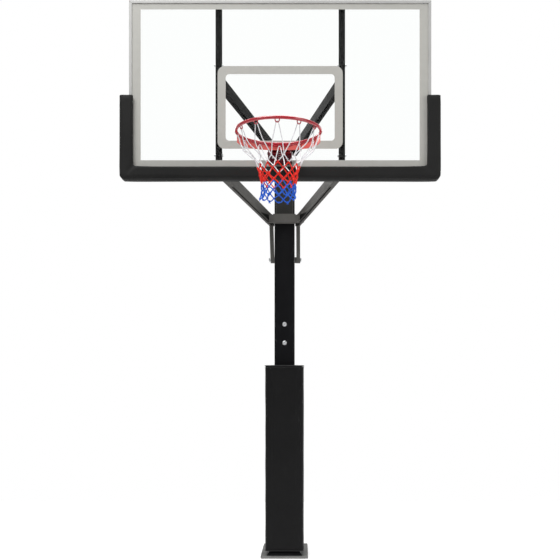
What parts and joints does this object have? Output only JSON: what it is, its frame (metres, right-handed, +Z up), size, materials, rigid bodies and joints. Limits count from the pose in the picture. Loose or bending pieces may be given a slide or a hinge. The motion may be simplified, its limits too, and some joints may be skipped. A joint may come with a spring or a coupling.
{
  "type": "basketball hoop",
  "caption": "Bolt-down basketball hoop: framed glass board on a parallelogram lift, square pole on a base plate, breakaway ring with net, jack and crank, board and pole pads.",
  "frame": {"origin": "on the pole's axis at the underside of the base plate", "axes": "+Z up along the pole; the backboard and ring face -Y; +X is to the right for someone facing the board"},
  "size_m": [1.938, 2.4575, 3.602],
  "materials": {
    "pole_black": "satin black powder coat",
    "arm_grey": "grey powder coat",
    "arm_black": "satin black powder coat",
    "plate_grey": "grey powder coat",
    "zinc": "zinc-plated",
    "dark_steel": "dark grey paint",
    "frame": "satin anodised",
    "marking": "matt printed ink, pale grey",
    "glass": "clear tempered",
    "pad": "matt black foam skin",
    "red": "gloss red powder coat",
    "net": "knotted polyester cord: white, red and blue bands",
    "grip": "matt black"
  },
  "bodies": {
    "pole": {"base_plate": "plate_grey", "foot_collar": "pole_black", "lower_pole": "pole_black", "upper_pole": "pole_black", "splice_sleeve": "dark_steel", "splice_bolt_upper": "zinc", "splice_bolt_lower": "zinc", "head_bracket": "pole_black", "head_plate": "arm_grey", "anchor_bolt_1": "zinc", "anchor_bolt_2": "zinc", "anchor_bolt_3": "zinc", "anchor_bolt_4": "zinc", "pole_pad": "pad", "lower_pivot_bolt": "zinc", "upper_pivot_bolt": "zinc", "jack_bracket": "pole_black", "jack_base_pin": "zinc"},
    "lower_arms": {"lower_arm_left": "arm_grey", "lower_arm_right": "arm_grey", "lower_crossbar": "arm_grey", "tail_left": "arm_grey", "tail_right": "arm_grey", "tail_pin": "zinc"},
    "upper_arms": {"upper_arm_left": "arm_black", "upper_arm_right": "arm_black"},
    "backboard": {"glass_panel": "glass", "frame_top": "frame", "frame_bottom": "frame", "frame_left": "frame", "frame_right": "frame", "border_marking": "marking", "target_marking": "marking", "strut_left": "arm_black", "strut_right": "arm_black", "clevis_upper_left": "arm_black", "clevis_upper_right": "arm_black", "clevis_lower_left": "arm_black", "clevis_lower_right": "arm_black", "front_pin_upper_left": "zinc", "front_pin_upper_right": "zinc", "front_pin_lower_left": "zinc", "front_pin_lower_right": "zinc", "rim_support_beam": "arm_black", "rim_backing_plate": "arm_black", "rim_housing": "red", "rim_bolt_left": "zinc", "rim_bolt_right": "zinc", "rim_hinge_pin": "zinc", "board_pad": "pad"},
    "rim": {"rim_ring": "red", "rim_neck": "red", "rim_brace": "red", "rim_spring": "zinc", "net_upper": "net", "net_lower": "net"},
    "jack_tube": {"jack_tube": "dark_steel"},
    "jack_ram": {"jack_ram": "zinc"},
    "crank": {"crank_handle": "dark_steel", "crank_grip": "grip"}
  },
  "joints": [
    {"name": "height_adjust", "type": "hinge", "parent": "pole", "child": "lower_arms", "pos_m": [0, 0, 2.566], "axis": [-1, 0, 0], "range_deg": [-18.5, 16.5]},
    {"name": "upper_arm_pivot", "type": "hinge", "parent": "pole", "child": "upper_arms", "pos_m": [0, 0, 3.111], "axis": [-1, 0, 0], "range_deg": [-18.6, 16.6]},
    {"name": "board_pivot", "type": "hinge", "parent": "lower_arms", "child": "backboard", "pos_m": [0, -1.262, 2.608], "axis": [-1, 0, 0], "range_deg": [-16.6, 18.6]},
    {"name": "rim_breakaway", "type": "hinge", "parent": "backboard", "child": "rim", "pos_m": [0, -1.432, 2.664], "axis": [1, 0, 0], "range_deg": [0, 30], "stiffness_Nm_per_rad": 420, "springref_deg": -25.78, "deforming": ["rim_spring"]},
    {"name": "jack_swing", "type": "hinge", "parent": "pole", "child": "jack_tube", "pos_m": [0, 0.135, 1.5], "axis": [-1, 0, 0], "range_deg": [-4.3, 4.8]},
    {"name": "jack_rod_swing", "type": "hinge", "parent": "lower_arms", "child": "jack_ram", "pos_m": [0, 0.278, 2.307], "axis": [-1, 0, 0], "range_deg": [-20.8, 23.3]},
    {"name": "crank_turn", "type": "hinge", "parent": "jack_tube", "child": "crank", "pos_m": [0, 0.205, 1.549], "axis": [0, 1, 0], "range_deg": [-3060, 2730]}
  ],
  "couplings": [
    {"joint": "upper_arm_pivot", "follows": "height_adjust", "ratio": 1},
    {"joint": "board_pivot", "follows": "height_adjust", "ratio": -1},
    {"joint": "jack_swing", "follows": "height_adjust", "ratio": -0.2445},
    {"joint": "jack_rod_swing", "follows": "height_adjust", "ratio": -1.2445},
    {"joint": "crank_turn", "follows": "height_adjust", "ratio": 164.6}
  ]
}
